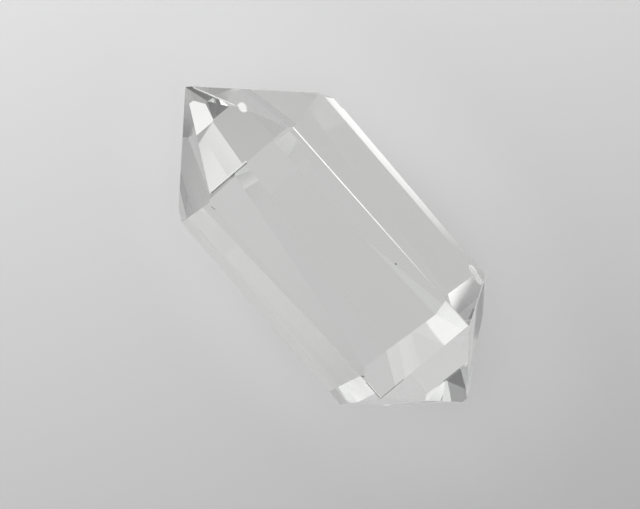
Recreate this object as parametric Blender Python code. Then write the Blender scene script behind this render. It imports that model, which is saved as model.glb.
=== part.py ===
"""A clear quartz crystal with a point at both ends, lying on one of its prism faces.

The solid is a block that every crystal face cuts once: six long prism faces round the long axis, six sloping
faces that meet in the first point, and six in the second, blunter one. The faces are flat and a little uneven,
as on a real crystal, so each has its own direction, angle and distance.

Metres, +Z up. +X runs along the crystal towards the blunter point. The origin is under the middle of the
crystal, on the surface that it lies on.
"""

import math

import bmesh
import bpy
from mathutils import Matrix, Vector

MM = 0.001

# The crystal is cut out of a block of this half length and half width.
BLOCK_HALF_LENGTH = 16.0 * MM
BLOCK_HALF_WIDTH = 9.0 * MM

# Each prism face: its direction round the axis in degrees, from the top face towards +Y; its distance from the
# axis in mm, at mid length; and how far it leans in towards the blunter point, in degrees.
PRISM_FACES = {
    "top": (-4.8, 5.16, -3.5),
    "top_left": (54.6, 5.27, -2.1),
    "low_left": (114.7, 4.35, 3.0),
    "rest": (173.8, 6.16, 9.7),
    "low_right": (234.6, 4.16, 1.3),
    "top_right": (294.5, 5.11, -2.1),
}

# Each face of a point: its direction round the axis in degrees; the angle between its outward normal and the
# axis, in degrees; and where its plane crosses the axis, in mm from mid length.
FIRST_POINT_FACES = [
    (-4.2, 47.7, 12.11),
    (51.9, 46.2, 12.02),
    (115.2, 50.5, 11.64),
    (171.4, 42.8, 13.35),
    (230.7, 49.2, 11.98),
    (293.3, 49.3, 12.19),
]
BLUNT_POINT_FACES = [
    (-5.7, 37.4, 11.60),
    (63.6, 41.6, 11.87),
    (111.1, 42.9, 12.51),
    (176.8, 47.8, 12.74),
    (229.5, 42.0, 12.75),
    (292.0, 42.7, 12.07),
]

# The edge between the top face and its left neighbour is rubbed to a narrow flat.
RUBBED_EDGE = ("top", "top_left")
RUBBED_EDGE_WIDTH = 0.06 * MM

MERGE_DISTANCE = 0.002 * MM


def clear_scene():
    for item in list(bpy.data.objects):
        bpy.data.objects.remove(item, do_unlink=True)


def round_the_axis(direction):
    """The unit vector across the long axis, in this direction from +Z towards +Y."""
    turn = math.radians(direction)
    return Vector((0.0, math.sin(turn), math.cos(turn)))


def prism_plane(direction, distance, lean):
    """A point on a prism face, and its outward normal."""
    out = round_the_axis(direction)
    tip = math.radians(lean)
    normal = out * math.cos(tip) + Vector((math.sin(tip), 0.0, 0.0))
    return out * distance * MM, normal


def point_plane(direction, slope, height, end):
    """A point on a face of the point at this end (-1 or +1), and its outward normal."""
    angle = math.radians(slope)
    axis = Vector((float(end), 0.0, 0.0))
    normal = axis * math.cos(angle) + round_the_axis(direction) * math.sin(angle)
    return axis * height * MM, normal


def rubbed_plane(first, second, width):
    """The plane that cuts a flat of this width along the edge between two planes."""
    (point_a, normal_a), (point_b, normal_b) = first, second
    normal = (normal_a + normal_b).normalized()
    along = normal_a.cross(normal_b).normalized()
    # The edge passes through the point where both faces and the plane at mid length meet.
    system = Matrix((normal_a, normal_b, along))
    edge_point = system.inverted() @ Vector((normal_a.dot(point_a), normal_b.dot(point_b), 0.0))
    half_turn = normal_a.angle(normal_b) / 2.0
    depth = 0.5 * width * math.tan(half_turn)
    return edge_point - normal * depth, normal


def all_planes():
    prism = {name: prism_plane(*values) for name, values in PRISM_FACES.items()}
    planes = list(prism.values())
    planes += [point_plane(*values, end=-1) for values in FIRST_POINT_FACES]
    planes += [point_plane(*values, end=1) for values in BLUNT_POINT_FACES]
    planes.append(rubbed_plane(*(prism[name] for name in RUBBED_EDGE), RUBBED_EDGE_WIDTH))
    return planes


def cut_crystal(planes):
    """The block after each plane has cut away what lies outside it, every cut closed by one flat face."""
    solid = bmesh.new()
    bmesh.ops.create_cube(solid, size=2.0)
    scale = (BLOCK_HALF_LENGTH, BLOCK_HALF_WIDTH, BLOCK_HALF_WIDTH)
    bmesh.ops.scale(solid, vec=scale, verts=solid.verts)
    for point, normal in planes:
        everything = solid.verts[:] + solid.edges[:] + solid.faces[:]
        cut = bmesh.ops.bisect_plane(
            solid, geom=everything, dist=MERGE_DISTANCE, plane_co=point, plane_no=normal, clear_outer=True
        )
        rim = [item for item in cut["geom_cut"] if isinstance(item, bmesh.types.BMEdge)]
        if rim:
            bmesh.ops.contextual_create(solid, geom=rim)
    bmesh.ops.remove_doubles(solid, verts=solid.verts, dist=MERGE_DISTANCE)
    bmesh.ops.recalc_face_normals(solid, faces=solid.faces)
    return solid


def lay_down(solid):
    """Turns the crystal so that its rest face is flat on z = 0 and its points lie along X, over the origin."""
    rest_normal = prism_plane(*PRISM_FACES["rest"])[1]
    turn = rest_normal.rotation_difference(Vector((0.0, 0.0, -1.0))).to_matrix().to_4x4()
    bmesh.ops.transform(solid, matrix=turn, verts=solid.verts)
    first = min(solid.verts, key=lambda vertex: vertex.co.x).co
    blunt = max(solid.verts, key=lambda vertex: vertex.co.x).co
    swing = -math.atan2(blunt.y - first.y, blunt.x - first.x)
    bmesh.ops.transform(solid, matrix=Matrix.Rotation(swing, 4, "Z"), verts=solid.verts)
    low = [min(vertex.co[axis] for vertex in solid.verts) for axis in range(3)]
    high = [max(vertex.co[axis] for vertex in solid.verts) for axis in range(3)]
    middle = Vector(((low[0] + high[0]) / 2.0, (low[1] + high[1]) / 2.0, low[2]))
    bmesh.ops.translate(solid, vec=-middle, verts=solid.verts)


def quartz_material():
    material = bpy.data.materials.new("quartz")
    material.use_nodes = True
    shader = material.node_tree.nodes["Principled BSDF"]
    shader.inputs["Base Color"].default_value = (0.97, 0.98, 0.97, 1.0)
    shader.inputs["Roughness"].default_value = 0.0
    shader.inputs["IOR"].default_value = 1.544
    shader.inputs["Transmission Weight"].default_value = 1.0
    return material


def build():
    clear_scene()
    solid = cut_crystal(all_planes())
    lay_down(solid)
    mesh = bpy.data.meshes.new("crystal")
    solid.to_mesh(mesh)
    solid.free()
    mesh.materials.append(quartz_material())
    crystal = bpy.data.objects.new("crystal", mesh)
    bpy.context.scene.collection.objects.link(crystal)


build()
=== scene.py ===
# %% [markdown]
# # A clear quartz crystal
#
# The real thing is a small water-clear crystal with a point at both ends, about 24 mm long. A clear crystal
# has no colour or pattern of its own to look at. What the eye sees is its surroundings, bent and mirrored
# by flat faces. So this lesson spends its effort on three things: the glassy material, the light and dark
# panels around the crystal, and the exact place of the camera.
#
# The solid model already has the right faces, so it is loaded and kept as it is. Everything is in metres.
# The crystal lies along X on one of its long faces. Its sharp first tip points to -X, its blunter tip to
# +X, and +Y is called left here, as seen from above by someone who looks towards +X.

import bpy
import numpy as np
from mathutils import Matrix, Vector


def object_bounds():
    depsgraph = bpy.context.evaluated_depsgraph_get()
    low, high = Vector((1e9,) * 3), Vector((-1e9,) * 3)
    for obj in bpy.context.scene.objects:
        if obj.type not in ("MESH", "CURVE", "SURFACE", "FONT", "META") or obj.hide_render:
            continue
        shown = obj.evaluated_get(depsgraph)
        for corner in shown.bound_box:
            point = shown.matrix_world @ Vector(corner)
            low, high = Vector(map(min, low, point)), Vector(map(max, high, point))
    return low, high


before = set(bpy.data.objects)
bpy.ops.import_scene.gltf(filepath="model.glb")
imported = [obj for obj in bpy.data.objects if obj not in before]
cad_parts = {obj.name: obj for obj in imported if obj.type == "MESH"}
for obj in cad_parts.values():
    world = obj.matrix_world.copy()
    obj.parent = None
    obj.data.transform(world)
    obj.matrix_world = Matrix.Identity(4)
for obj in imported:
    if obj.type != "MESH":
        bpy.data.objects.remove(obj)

MM = 0.001
scene = bpy.context.scene
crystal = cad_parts["crystal"]
cad_low, cad_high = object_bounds()
size_mm = (cad_high - cad_low) / MM
print(f"crystal: {size_mm.x:.1f} x {size_mm.y:.1f} x {size_mm.z:.1f} mm")
print("triangles:", len(crystal.data.polygons))

# %% [markdown]
# ## Two small helpers
#
# Colours are easiest to pick as the hex values of a paint chart, but a shader works in linear light. One
# function turns one into the other. A second one adds a shader node, sets it up and links it, so that each
# material below reads as a short recipe.

# %% Colours and nodes
def linear_rgb(hex_colour):
    """An sRGB hex colour in linear light. Each channel c becomes c / 12.92 below 0.04045, and
    ((c + 0.055) / 1.055) ** 2.4 above it."""
    channels = np.array([int(hex_colour[i : i + 2], 16) for i in (1, 3, 5)]) / 255.0
    linear = np.where(channels <= 0.04045, channels / 12.92, ((channels + 0.055) / 1.055) ** 2.4)
    return tuple(float(channel) for channel in linear) + (1.0,)


def add_node(tree, kind, sockets=None, **settings):
    """Adds a node with these settings. Each socket gets a plain value, or a link from another node."""
    node = tree.nodes.new(kind)
    for name, value in settings.items():
        setattr(node, name, value)
    for key, value in (sockets or {}).items():
        if isinstance(value, bpy.types.NodeSocket):
            tree.links.new(value, node.inputs[key])
        else:
            node.inputs[key].default_value = value
    return node


print("a mid grey in linear light:", round(linear_rgb("#808080")[0], 3))

# %% [markdown]
# ## Where the faces and edges are
#
# Some of the finish below follows an edge: a worn stretch is a thin bright line, and it has to sit exactly
# on the edge that is worn. The solid is a set of flat faces, so an edge can be found without any list of
# points. A face is named by the direction that it looks in, and the edge between two faces runs between the
# corners that lie on both planes.

# %% Find faces and edges by direction
corners = np.empty(len(crystal.data.vertices) * 3)
crystal.data.vertices.foreach_get("co", corners)
corners = np.unique(np.round(corners.reshape(-1, 3), 7), axis=0)
face_normals = np.empty(len(crystal.data.polygons) * 3)
crystal.data.polygons.foreach_get("normal", face_normals)
face_normals = face_normals.reshape(-1, 3)
face_centres = np.empty(len(crystal.data.polygons) * 3)
crystal.data.polygons.foreach_get("center", face_centres)
face_centres = face_centres.reshape(-1, 3)
face_areas = np.array([face.area for face in crystal.data.polygons])
# Corners are stored a little rounded, so a corner within this distance of a plane counts as on it.
ON_PLANE = 0.012 * MM
# Two triangles whose normals are within one degree belong to one face.
SAME_PLANE = np.cos(np.radians(1.0))


def plane_facing(direction):
    """The plane of the face whose outward normal is nearest to this direction: its normal, and how far out
    it is. The widest triangle of that face is measured, because a sliver's normal is less exact."""
    aim = np.array(direction) / np.linalg.norm(direction)
    nearest = face_normals[np.argmax(face_normals @ aim)]
    widest = int(np.argmax(np.where(face_normals @ nearest > SAME_PLANE, face_areas, 0.0)))
    return face_normals[widest], float(face_normals[widest] @ face_centres[widest])


def edge_between(first, second):
    """The ends of the edge that two planes share: of the corners on both, the two furthest along it."""
    (normal_a, out_a), (normal_b, out_b) = first, second
    on_both = (abs(corners @ normal_a - out_a) < ON_PLANE) & (abs(corners @ normal_b - out_b) < ON_PLANE)
    shared = corners[on_both]
    along = shared @ np.cross(normal_a, normal_b)
    return shared[np.argmin(along)], shared[np.argmax(along)]


TOP = plane_facing((0.05, 0.05, 1.0))
TOP_RIGHT = plane_facing((0.0, -0.85, 0.5))
TOP_LEFT = plane_facing((0.0, 0.85, 0.5))
LOW_LEFT = plane_facing((0.0, 0.85, -0.5))
FIRST_TOP = plane_facing((-0.7, 0.0, 0.7))
FIRST_LEFT = plane_facing((-0.6, 0.6, 0.5))
BLUNT_TOP = plane_facing((0.7, 0.0, 0.7))
BLUNT_LEFT = plane_facing((0.7, 0.7, 0.3))
BLUNT_RIGHT = plane_facing((0.7, -0.7, 0.2))
BLUNT_LOW_RIGHT = plane_facing((0.7, -0.5, -0.5))
for name, plane in (("top", TOP), ("top left", TOP_LEFT), ("top right", TOP_RIGHT)):
    print(name, "faces", plane[0].round(2), "and is", round(plane[1] / MM, 2), "mm out")

# %% [markdown]
# ## Quartz
#
# Quartz is a crystal of silica. Its index of refraction is 1.544, a little more than window glass, so light
# that meets a face from inside at more than 40 degrees from square is mirrored back. Natural faces are as
# smooth as polished glass. A clear stone needs real refraction: the shader's transmission is 1, and the
# light bounces in the render settings are raised, because a ray may be mirrored many times before it finds
# its way out.
#
# Perfect glass looks like a computer model, so three small faults of a real stone go in. The faces carry a
# very low swell left by growth, which bends the straight edges seen through them a little. A few dark
# specks sit on the upper faces. And some edges are worn: quartz chips there into a fine white powder of
# cracks, which scatters light, so a worn edge is a thin bright line on a clear stone. These lines and
# specks could be painted on an image that is wrapped over the stone. Here each one is drawn by its distance
# from a short straight stretch, which stays crisp from close by and follows the solid's own edges.

# %% A soft line drawn by distance
LINE_SOFTNESS = 0.5


def near_line(tree, place, start, end, half_width):
    """1 within half_width of the stretch from start to end, fading to 0 beyond it. The distance is taken
    from the place to the nearest point of the stretch, found by sliding along it and stopping at its ends."""
    run = end - start
    per_length = tuple(run / (run @ run))
    offset = add_node(tree, "ShaderNodeVectorMath", {0: place, 1: tuple(start)}, operation="SUBTRACT")
    offset = offset.outputs[0]
    slide = add_node(tree, "ShaderNodeVectorMath", {0: offset, 1: per_length}, operation="DOT_PRODUCT")
    part_way = add_node(tree, "ShaderNodeClamp", {"Value": slide.outputs["Value"]}).outputs[0]
    nearest = add_node(tree, "ShaderNodeVectorMath", {0: tuple(run), "Scale": part_way}, operation="SCALE")
    apart = {0: offset, 1: nearest.outputs[0]}
    offset = add_node(tree, "ShaderNodeVectorMath", apart, operation="SUBTRACT").outputs[0]
    away = add_node(tree, "ShaderNodeVectorMath", {0: offset}, operation="LENGTH")
    faded = {
        "Value": away.outputs["Value"],
        "From Min": half_width * (1.0 - LINE_SOFTNESS),
        "From Max": half_width * (1.0 + LINE_SOFTNESS),
        "To Min": 1.0,
        "To Max": 0.0,
    }
    return add_node(tree, "ShaderNodeMapRange", faded, interpolation_type="SMOOTHSTEP").outputs["Result"]


def any_of(tree, place, lines):
    """1 on any of these lines, each given as its two ends and its half width, and 0 away from all of them."""
    total = 0.0
    for (start, end), half_width in lines:
        mask = near_line(tree, place, start, end, half_width)
        total = add_node(tree, "ShaderNodeMath", {0: total, 1: mask}, operation="MAXIMUM").outputs[0]
    return total


print("a line fades out from", 1.0 - LINE_SOFTNESS, "to", 1.0 + LINE_SOFTNESS, "of its half width")

# %% [markdown]
# ## Where the marks go
#
# Each mark below is a short stretch of an edge, that stretch moved a little way over one of the two faces,
# or a line between two places on a face. Three small functions give all of them.

# %% Places for lines on edges and faces
def stretch(edge, start, end):
    """The part of an edge from one fraction of its length to another."""
    first, last = edge
    return first + (last - first) * start, first + (last - first) * end


def moved_over(line, plane, distance):
    """The same line, moved over the face of this plane: square to itself, towards the face's middle."""
    first, last = line
    normal, out = plane
    across = np.cross(last - first, normal)
    across = across / np.linalg.norm(across)
    middle = corners[abs(corners @ normal - out) < ON_PLANE].mean(axis=0)
    shift = across * distance * np.sign(across @ (middle - first))
    return first + shift, last + shift


def over(plane, x, y):
    """The point of a plane over this x and y, in mm."""
    normal, out = plane
    return np.array((x * MM, y * MM, (out - normal[0] * x * MM - normal[1] * y * MM) / normal[2]))


girdle_length = np.linalg.norm(np.subtract(*edge_between(TOP, FIRST_TOP)))
print("the top face's edge towards the first tip is", round(float(girdle_length) / MM, 1), "mm long")

# %% [markdown]
# ## Worn edges, specks, painted shade and a painted highlight
#
# The girdle is where the top face meets the first tip's top face. It is chipped along nearly half of its
# length, and so is one corner of the blunt end. Beside both chipped stretches a dark line of painted shade
# is drawn, the shade that falls into the cracks. One more dark line runs along part of the top face's edge
# at the blunt end. Of the other worn lines three are hair-thin. The widest white mark, at the left corner of
# the blunt end, is a painted highlight: a white spot where a flash of light shows. Each row below is a line
# and its half width. The last three dark rows are the specks.

# %% Where the stone is worn and specked, with painted shade and a painted highlight
girdle = stretch(edge_between(TOP, FIRST_TOP), 0.53, 0.98)
blunt_corner = stretch(edge_between(TOP, TOP_RIGHT), 0.92, 1.0)
blunt_low_edge = stretch(edge_between(BLUNT_RIGHT, BLUNT_LOW_RIGHT), 0.4, 0.9)
# A painted highlight: a white spot at the left corner of the blunt end, drawn as if it were a chip.
left_corner_highlight = (over(TOP_LEFT, 6.18, 5.07), over(TOP_LEFT, 6.85, 4.95))
HAIR = 0.045 * MM

WORN_AND_HIGHLIGHT_LINES = [
    (moved_over(girdle, FIRST_TOP, 0.06 * MM), 0.06 * MM),
    (moved_over(blunt_corner, TOP, 0.06 * MM), 0.03 * MM),
    (stretch(edge_between(FIRST_TOP, FIRST_LEFT), 0.54, 0.97), HAIR),
    (edge_between(TOP_LEFT, BLUNT_LEFT), HAIR),
    (stretch(edge_between(TOP_LEFT, LOW_LEFT), 0.955, 1.0), 0.09 * MM),
    (stretch(edge_between(BLUNT_TOP, BLUNT_LEFT), 0.5, 1.0), HAIR),
    (moved_over(blunt_low_edge, BLUNT_RIGHT, 0.15 * MM), 0.16 * MM),
    (left_corner_highlight, 0.24 * MM),
]
# The first two dark rows are painted shade: the dark that falls into the cracks beside the chips.
DARK_LINES = [
    (moved_over(girdle, TOP, 0.03 * MM), 0.032 * MM),
    (blunt_corner, 0.035 * MM),
    (stretch(edge_between(TOP, BLUNT_TOP), 0.0, 0.26), 0.03 * MM),
    ((over(TOP, 3.13, 2.36), over(TOP, 3.19, 2.36)), 0.04 * MM),
    ((over(TOP, 6.5, -3.0), over(TOP, 6.6, -2.9)), 0.035 * MM),
    ((over(TOP_RIGHT, -5.5, -2.97), over(TOP_RIGHT, -5.3, -2.9)), 0.05 * MM),
]
for name, lines in (("wear_and_highlight", WORN_AND_HIGHLIGHT_LINES), ("dark", DARK_LINES)):
    lengths = [round(float(np.linalg.norm(line[1] - line[0])) / MM, 2) for line, _ in lines]
    print(name, "lines, mm long:", lengths)

# %% [markdown]
# ## The clear stone
#
# A Glass shader would do for the clear faces, but the worn edges are a rough white, and one Principled
# shader blends from the one to the other. Transmission 1 and the real index of refraction make the glass. A
# bump about a thousandth of a millimetre high gives the growth swell. The white mask, of worn lines and one
# painted highlight, makes the surface rough and lets it scatter light. The dark mask, of specks and of dark
# lines that are mostly painted shade, only tints what passes through. A weak absorption inside gives long
# paths through the stone a trace of green-grey, as the real stone has.
#
# The masks are laid on the outer side of the faces alone. A ray inside the stone meets each face from
# behind, and there the Geometry node's Backfacing is 1. Without this, every chip would be seen again
# several times over, mirrored in the faces below.

# %% The growth swell and the two masks
SWELL_WIDTH = 2.6 * MM
SWELL_HEIGHT = 0.0012 * MM
CHIP_LENGTH = 0.5 * MM
# The noise lies around a half. Up to the first value an edge is chipped least, and from the second fully.
LEAST_CHIPPED_NOISE = 0.35
FULLY_CHIPPED_NOISE = 0.6
LEAST_CHIPPED = 0.7


def growth_swell(tree, place):
    """The normal of a surface with low waves on it, SWELL_HEIGHT times a smooth noise SWELL_WIDTH wide."""
    swell = add_node(tree, "ShaderNodeTexNoise", {"Vector": place, "Scale": 1.0 / SWELL_WIDTH, "Detail": 1.0})
    low_waves = {"Height": swell.outputs["Fac"], "Distance": SWELL_HEIGHT, "Strength": 1.0}
    return add_node(tree, "ShaderNodeBump", low_waves).outputs["Normal"]


def wear_highlight_and_dark(tree, place):
    """Two masks on the outer side, from 0 to 1: the white one, of wear lines and one painted highlight, and
    the dark one, of specks and dark lines that are mostly painted shade. The white mask is its lines times a
    noise between LEAST_CHIPPED and 1, so that it looks broken and not drawn."""
    inner_side = add_node(tree, "ShaderNodeNewGeometry").outputs["Backfacing"]
    outer_side = add_node(tree, "ShaderNodeMath", {0: 1.0, 1: inner_side}, operation="SUBTRACT").outputs[0]
    chips = add_node(tree, "ShaderNodeTexNoise", {"Vector": place, "Scale": 1.0 / CHIP_LENGTH, "Detail": 2.0})
    more_or_less = {
        "Value": chips.outputs["Fac"],
        "From Min": LEAST_CHIPPED_NOISE,
        "From Max": FULLY_CHIPPED_NOISE,
        "To Min": LEAST_CHIPPED,
    }
    chipped = add_node(tree, "ShaderNodeMapRange", more_or_less)
    wear_and_highlight = any_of(tree, place, WORN_AND_HIGHLIGHT_LINES)
    for factor in (chipped.outputs["Result"], outer_side):
        wear_and_highlight = add_node(tree, "ShaderNodeMath", {0: wear_and_highlight, 1: factor}, operation="MULTIPLY").outputs[0]
    dark = any_of(tree, place, DARK_LINES)
    dark = add_node(tree, "ShaderNodeMath", {0: dark, 1: outer_side}, operation="MULTIPLY").outputs[0]
    return wear_and_highlight, dark


print("the swell is", round(SWELL_WIDTH / MM, 1), "mm wide and", round(SWELL_HEIGHT / MM, 4), "mm high")

# %% The quartz material
QUARTZ_IOR = 1.544
WORN_AND_HIGHLIGHT_TRANSMISSION = 0.15
WORN_AND_HIGHLIGHT_ROUGHNESS = 0.5
CLEAR_QUARTZ = "#FEFEFD"
# The dark colour of the specks, and of the painted shade in the cracks beside the chips.
DIRT_AND_PAINTED_SHADE = "#6B6E6C"
LONG_PATH_TINT = "#E4F0EA"
ABSORPTION_PER_METRE = 4.5


def empty_material(name):
    """A new material and its node tree, with no node in it yet."""
    material = bpy.data.materials.new(name)
    material.use_nodes = True
    material.node_tree.nodes.clear()
    return material, material.node_tree


def quartz_material():
    """Water-clear rock crystal with naturally grown, mirror-smooth faces, white with wear along a few edges.
    It also has dark specks, dark lines of painted shade and one painted highlight.
    """
    material, tree = empty_material("rock_crystal_natural_faces")
    place = add_node(tree, "ShaderNodeTexCoord").outputs["Object"]
    wear_and_highlight, dark = wear_highlight_and_dark(tree, place)
    clear_to_white = {"Value": wear_and_highlight, "To Min": 1.0, "To Max": WORN_AND_HIGHLIGHT_TRANSMISSION}
    smooth_to_rough = {"Value": wear_and_highlight, "To Max": WORN_AND_HIGHLIGHT_ROUGHNESS}
    # A Mix node's two colours are its inputs 6 and 7, and the mixed colour is its output 2.
    clean_to_dirt_and_shade = {"Factor": dark, 6: linear_rgb(CLEAR_QUARTZ), 7: linear_rgb(DIRT_AND_PAINTED_SHADE)}
    surface = {
        "Base Color": add_node(tree, "ShaderNodeMix", clean_to_dirt_and_shade, data_type="RGBA").outputs[2],
        "Roughness": add_node(tree, "ShaderNodeMapRange", smooth_to_rough).outputs["Result"],
        "IOR": QUARTZ_IOR,
        "Transmission Weight": add_node(tree, "ShaderNodeMapRange", clear_to_white).outputs["Result"],
        "Normal": growth_swell(tree, place),
    }
    inside = {"Color": linear_rgb(LONG_PATH_TINT), "Density": ABSORPTION_PER_METRE}
    outcome = {
        "Surface": add_node(tree, "ShaderNodeBsdfPrincipled", surface).outputs["BSDF"],
        "Volume": add_node(tree, "ShaderNodeVolumeAbsorption", inside).outputs["Volume"],
    }
    add_node(tree, "ShaderNodeOutputMaterial", outcome)
    return material


crystal.data.materials.clear()
crystal.data.materials.append(quartz_material())
print("crystal wears", crystal.data.materials[0].name)

# %% [markdown]
# ## The rubbed edge
#
# The long edge between the top face and its left neighbour is rubbed to a flat as wide as a hair. Near the
# first tip the flat is partly frosted, so it scatters some light and looks white. Towards the blunter tip
# it turns clear, and then it is one more narrow face in which a bright panel shows. It is a face of the
# solid, so it only needs a material slot of its own: its triangles are the ones that look half-way between
# the two neighbours.

# %% The rubbed edge's material
NEARLY_HALF_WAY_DEGREES = 6.0
RUB_STARTS_TO_CLEAR = -6.0 * MM
RUB_IS_CLEAR = 9.0 * MM
FROSTED_TRANSMISSION = 0.7
RUB_ROUGHNESS = 0.08
# Up to the first value of the noise the frosting has no gap, and from the second it has a full one.
NO_GAP_NOISE = 0.4
FULL_GAP_NOISE = 0.65
CLEARER_IN_A_GAP = 0.25
GROUND_QUARTZ = "#FBFCFB"


def rubbed_edge_material():
    """Ground quartz: a fine white frosting with gaps, which thins out to clear towards the blunter tip."""
    material, tree = empty_material("ground_quartz_edge")
    place = add_node(tree, "ShaderNodeTexCoord").outputs["Object"]
    along = add_node(tree, "ShaderNodeSeparateXYZ", {"Vector": place}).outputs["X"]
    thinning = {
        "Value": along,
        "From Min": RUB_STARTS_TO_CLEAR,
        "From Max": RUB_IS_CLEAR,
        "To Min": FROSTED_TRANSMISSION,
    }
    clearing = add_node(tree, "ShaderNodeMapRange", thinning).outputs["Result"]
    chips = add_node(tree, "ShaderNodeTexNoise", {"Vector": place, "Scale": 1.0 / CHIP_LENGTH, "Detail": 2.0})
    gap = {
        "Value": chips.outputs["Fac"],
        "From Min": NO_GAP_NOISE,
        "From Max": FULL_GAP_NOISE,
        "To Max": CLEARER_IN_A_GAP,
    }
    gaps = add_node(tree, "ShaderNodeMapRange", gap).outputs["Result"]
    clear = add_node(tree, "ShaderNodeMath", {0: clearing, 1: gaps}, operation="ADD", use_clamp=True)
    surface = {
        "Base Color": linear_rgb(GROUND_QUARTZ),
        "Roughness": RUB_ROUGHNESS,
        "IOR": QUARTZ_IOR,
        "Transmission Weight": clear.outputs[0],
    }
    shader = add_node(tree, "ShaderNodeBsdfPrincipled", surface)
    add_node(tree, "ShaderNodeOutputMaterial", {"Surface": shader.outputs["BSDF"]})
    return material


crystal.data.materials.append(rubbed_edge_material())
half_way = TOP[0] + TOP_LEFT[0]
rubbed = face_normals @ (half_way / np.linalg.norm(half_way)) > np.cos(np.radians(NEARLY_HALF_WAY_DEGREES))
crystal.data.polygons.foreach_set("material_index", rubbed.astype(np.int32))
rubbed_area = float(face_areas[rubbed].sum()) / MM**2
print("the rubbed flat:", int(rubbed.sum()), "triangles,", round(rubbed_area, 2), "square mm")

# %% [markdown]
# ## Enough bounces
#
# A ray that enters the stone is mirrored from face to face before it gets out. With the usual limit of 12
# bounces some of those rays are cut short and show as black facets. The plain Standard view keeps greys as
# they are set.

# %% Light bounces deep enough for a many-sided stone
scene.cycles.max_bounces = 32
scene.cycles.glossy_bounces = 24
scene.cycles.transmission_bounces = 24
scene.cycles.transparent_max_bounces = 16
scene.view_settings.view_transform = "Standard"
print("a ray may pass through", scene.cycles.transmission_bounces, "faces")

# %% [markdown]
# ## The floor
#
# A sheet of pale matt paper, far larger than the stone. Its colour runs softly from light to darker across
# the view: the fall-off of the light is painted into the paper. The stone keeps some of the dome's light off
# the paper around it, which leaves a soft grey shade. At full strength that shade would make a dark ring
# round a clear stone, so the paper is painted a little lighter in an oval around it, and only the deepest
# part of the shade is left.
# The paper doesn't show in what is seen through the stone. The rays that leave the stone there go straight
# to the dome below, so that each facet's tone can be set by a card. In a mirror reflection the paper is
# still there.

# %% How the paper's tone runs
FADE_TOWARDS = (0.94, -0.34, 0.0)
FADE_REACH = 22 * MM
STONE_MIDDLE = (1.5 * MM, 0.0, 0.0)
STONE_REACH = (13 * MM, 8 * MM, 1.0)
LIGHTER_BY = 0.24
LIGHTER_WITHIN = 0.75
LIGHTER_UP_TO = 1.55


# The paper's tone is painted light: the light's fall-off across the view, and a lighter oval over the stone's
# shade.
def paper_tone(tree, place):
    """0 where the paper is lightest and 1 where it is darkest. It rises along FADE_TOWARDS, from 0 at
    -FADE_REACH to 1 at FADE_REACH, and around the stone it is lower by up to LIGHTER_BY. That part falls
    off with the distance from STONE_MIDDLE, counted in units of STONE_REACH along each axis."""
    along = add_node(tree, "ShaderNodeVectorMath", {0: place, 1: FADE_TOWARDS}, operation="DOT_PRODUCT")
    fade = {"Value": along.outputs["Value"], "From Min": -FADE_REACH, "From Max": FADE_REACH}
    tone = add_node(tree, "ShaderNodeMapRange", fade).outputs["Result"]
    around = add_node(tree, "ShaderNodeVectorMath", {0: place, 1: STONE_MIDDLE}, operation="SUBTRACT")
    in_reaches = {0: around.outputs[0], 1: STONE_REACH}
    around = add_node(tree, "ShaderNodeVectorMath", in_reaches, operation="DIVIDE").outputs[0]
    how_far = add_node(tree, "ShaderNodeVectorMath", {0: around}, operation="LENGTH")
    fall_off = {
        "Value": how_far.outputs["Value"],
        "From Min": LIGHTER_WITHIN,
        "From Max": LIGHTER_UP_TO,
        "To Min": LIGHTER_BY,
        "To Max": 0.0,
    }
    lighter = add_node(tree, "ShaderNodeMapRange", fall_off, interpolation_type="SMOOTHSTEP")
    less = {0: tone, 1: lighter.outputs["Result"]}
    return add_node(tree, "ShaderNodeMath", less, operation="SUBTRACT", use_clamp=True).outputs[0]


print("the paper's tone changes over", round(2 * FADE_REACH / MM), "mm")

# %% The pale paper
FLOOR_HALF = 0.9
FLOOR_HEIGHT = -0.02 * MM
PAPER_LIGHT_SIDE = "#F4F4F4"
PAPER_DARK_SIDE = "#C2C2C2"
PAPER_ROUGHNESS = 0.9


def flat_sheet(name, half, height):
    """A square sheet: its four points have x and y at plus or minus half, and one height."""
    mesh = bpy.data.meshes.new(name)
    points = [(x * half, y * half, height) for x, y in ((-1, -1), (1, -1), (1, 1), (-1, 1))]
    mesh.from_pydata(points, [], [(0, 1, 2, 3)])
    sheet = bpy.data.objects.new(name, mesh)
    scene.collection.objects.link(sheet)
    return sheet


def paper_material():
    """Matt uncoated paper, pale grey, with no grain and no gloss. Its colour carries painted light: it is
    darker across the view where the light falls off, and lighter round the stone over part of its shade.
    """
    material, tree = empty_material("matt_grey_paper")
    place = add_node(tree, "ShaderNodeTexCoord").outputs["Object"]
    light_to_dark = {
        "Factor": paper_tone(tree, place),
        6: linear_rgb(PAPER_LIGHT_SIDE),
        7: linear_rgb(PAPER_DARK_SIDE),
    }
    colour = add_node(tree, "ShaderNodeMix", light_to_dark, data_type="RGBA").outputs[2]
    matt = {"Base Color": colour, "Roughness": PAPER_ROUGHNESS}
    shader = add_node(tree, "ShaderNodeBsdfPrincipled", matt)
    add_node(tree, "ShaderNodeOutputMaterial", {"Surface": shader.outputs["BSDF"]})
    return material


floor = flat_sheet("floor", FLOOR_HALF, FLOOR_HEIGHT)
floor.data.materials.append(paper_material())
floor.visible_transmission = False
print("the paper is", 2 * FLOOR_HALF, "m across")

# %% [markdown]
# ## The camera
#
# The camera looks almost straight down at the stone with a long lens. Its place, the point that it looks at
# and the direction that is sideways in the view say all that it needs.

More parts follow.
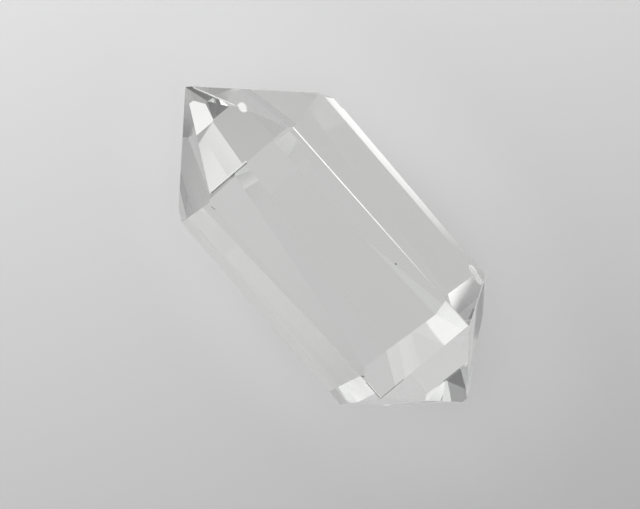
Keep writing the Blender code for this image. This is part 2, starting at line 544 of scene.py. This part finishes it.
# %% The camera
CAMERA_PLACE = Vector((2.45, 8.72, 95.40)) * MM
CAMERA_TARGET = Vector((-0.16, -1.53, 0.0)) * MM
VIEW_RIGHT = Vector((0.6550, 0.7492, -0.0984))
LENS = 89.9
SENSOR_WIDTH = 36.0


def turned_to(place, target, right):
    """Columns right, up and back: back points from the target to the place, up is square to both others."""
    back = (place - target).normalized()
    side = (right - back * right.dot(back)).normalized()
    return Matrix((side, back.cross(side), back)).transposed()


camera_data = bpy.data.cameras.new("camera")
camera_data.lens = LENS
camera_data.sensor_width = SENSOR_WIDTH
camera_data.clip_start = 0.005
camera_data.clip_end = 10.0
camera = bpy.data.objects.new("camera", camera_data)
camera.matrix_world = Matrix.Translation(CAMERA_PLACE) @ turned_to(
    CAMERA_PLACE, CAMERA_TARGET, VIEW_RIGHT
).to_4x4()
scene.collection.objects.link(camera)
scene.camera = camera
print("the camera is", round((CAMERA_PLACE - CAMERA_TARGET).length / MM), "mm from the stone")

# %% [markdown]
# ## The light
#
# A flat facet of a clear stone sends the eye in one direction only, after all its mirrorings, and a long
# lens keeps that direction nearly the same over the whole facet. So the tone of a facet is the tone of one
# small part of the surroundings. Light for gems is set up with this in mind: white cards, called panels,
# make facets bright, and black cards, called flags, make them dark. A card with a crisp edge can draw a
# straight line across a facet.
#
# The cards could be glowing planes around the stone. Here they are drawn on the world by direction, because
# a flat facet picks out a direction and not a place, and then no card can hide another or get in front of
# the camera. Each row of the plan is a round card on a soft dome: its elevation and azimuth as seen from
# the stone, its radius, how soft its edge is, all four in degrees, and how much it adds to the dome's
# level. A panel adds and a flag takes away. The plan is in groups, by where on the stone the card shows.

# %% The lighting plan
DOME_LEVEL = 0.559
DOME_SLOPE = (-0.146, 0.031, 0.0)
LIGHTING_PLAN = {
    "bright and grey facets of the first tip": [
        (-30, 46, 21, 2, 0.50),
        (-39, 56, 16, 16, -0.25),
        (-33, 25, 7, 4, 0.12),
        (70, 32, 8, 6, 0.55),
        (26, 346, 8, 2, -0.40),
    ],
    "dark facets below the first tip's left edge": [
        (-8, 9, 14, 2, -0.20),
        (-16.8, 358, 3, 1, -0.12),
        (-19, 209, 20, 12, -0.40),
        (-41, 268, 1.8, 0.4, -0.33),
    ],
    "a glint near the first tip": [
        (4.97, 57.4, 0.14, 0.03, 0.45),
        (-76.2, 335.0, 0.14, 0.03, 0.45),
    ],
    "the long faces and the rubbed edge": [
        (-11, 267, 16, 2, 1.65),
        (-26, 264, 4, 2, 0.14),
        (-53, 100, 5, 3, 0.04),
        (-67, 245, 5, 4, 0.80),
    ],
    "the bright band and the white facet of the blunt end": [
        (-65, 192, 5, 3, 0.09),
        (-66, 165, 9.89, 0.06, 0.26),
    ],
    "the corners of the blunt end": [
        (-21, 224, 10, 2, 1.10),
        (-28, 230, 2, 1, 0.50),
        (-31, 234, 1.6, 0.8, -0.20),
        (-24, 31, 3, 1, 0.30),
        (18, 112, 25, 13, -0.75),
    ],
    "the white and dark facets of the blunt tip": [
        (18, 15, 4, 3, 0.75),
        (38, 170, 12, 2, 0.60),
        (32, 173, 15, 3, -0.35),
        (22, 183, 4, 3, -0.24),
    ],
    "faint second reflections in several facets": [
        (51, 63, 14, 2, -1.50),
        (28, 198, 7, 2, 2.20),
        (59, 352, 4, 3, 0.85),
        (76, 237, 7, 4, -0.45),
        (-23, 138, 7, 2, -1.50),
        (5, 178, 13, 2, -1.05),
        (-31, 327, 14, 7, 0.70),
    ],
}
for where, cards in LIGHTING_PLAN.items():
    panels = sum(card[-1] > 0 for card in cards)
    print(f"{where}: {panels} panels, {len(cards) - panels} flags")

# %% [markdown]
# ## The dome
#
# From low down the camera sees past the paper's far edge, so for its own rays the world is one plain grey.
# Every other ray sees the dome with its cards. A level can't be below black, so the sum is kept at 0 or
# more.

# %% The studio dome
BACKDROP = "#D4D4D4"


def aim_of(elevation, azimuth):
    """The unit vector up by the elevation and around by the azimuth from +X, both in degrees."""
    up, around = np.radians(elevation), np.radians(azimuth)
    return (float(np.cos(up) * np.cos(around)), float(np.cos(up) * np.sin(around)), float(np.sin(up)))


def dome_light():
    """The dome's level, plus a gentle slope along each axis, plus what each card adds.

    A card is a smooth step of the dot product between the direction looked in and the card's own direction.
    """
    world = bpy.data.worlds.new("studio_dome")
    world.use_nodes = True
    tree = world.node_tree
    tree.nodes.clear()
    direction = add_node(tree, "ShaderNodeTexCoord").outputs["Generated"]
    dot = add_node(tree, "ShaderNodeVectorMath", {0: direction, 1: DOME_SLOPE}, operation="DOT_PRODUCT")
    level = add_node(tree, "ShaderNodeMath", {0: dot.outputs["Value"], 1: DOME_LEVEL}, operation="ADD")
    for elevation, azimuth, radius, edge, change in sum(LIGHTING_PLAN.values(), []):
        aim = aim_of(elevation, azimuth)
        dot = add_node(tree, "ShaderNodeVectorMath", {0: direction, 1: aim}, operation="DOT_PRODUCT")
        soft_edge = {
            "Value": dot.outputs["Value"],
            "From Min": float(np.cos(np.radians(radius + edge))),
            "From Max": float(np.cos(np.radians(radius - edge))),
            "To Max": change,
        }
        card = add_node(tree, "ShaderNodeMapRange", soft_edge, interpolation_type="SMOOTHSTEP")
        both = {0: level.outputs[0], 1: card.outputs["Result"]}
        level = add_node(tree, "ShaderNodeMath", both, operation="ADD")
    level = add_node(tree, "ShaderNodeMath", {0: level.outputs[0], 1: 0.0}, operation="MAXIMUM")
    dome = add_node(tree, "ShaderNodeBackground", {"Color": level.outputs[0]})
    backdrop = add_node(tree, "ShaderNodeBackground", {"Color": linear_rgb(BACKDROP)})
    to_camera = add_node(tree, "ShaderNodeLightPath").outputs["Is Camera Ray"]
    either = add_node(
        tree, "ShaderNodeMixShader", {0: to_camera, 1: dome.outputs[0], 2: backdrop.outputs[0]}
    )
    add_node(tree, "ShaderNodeOutputWorld", {"Surface": either.outputs[0]})
    return world


scene.world = dome_light()
print("the dome has", sum(len(cards) for cards in LIGHTING_PLAN.values()), "cards")

# %% [markdown]
# ## The lamp
#
# A large soft lamp above lights the paper and the worn edges. It throws no shadow: the dome alone leaves
# the soft shade where the stone meets the paper. The clear faces don't mirror the lamp either, since the
# plan already says what they show.

# %% The softbox over the paper
LAMP_PLACE = (-0.15, 0.10, 0.40)
LAMP_SIDE = 0.7
LAMP_WATTS = 1.3

lamp_data = bpy.data.lights.new("softbox", "AREA")
lamp_data.shape = "SQUARE"
lamp_data.size = LAMP_SIDE
lamp_data.energy = LAMP_WATTS
lamp_data.use_shadow = False
lamp = bpy.data.objects.new("softbox", lamp_data)
lamp.location = LAMP_PLACE
lamp.rotation_mode = "QUATERNION"
lamp.rotation_quaternion = lamp.location.to_track_quat("Z", "Y")
lamp.visible_camera = False
lamp.visible_glossy = False
lamp.visible_transmission = False
scene.collection.objects.link(lamp)
print("the lamp is", round(lamp.location.length, 2), "m away")
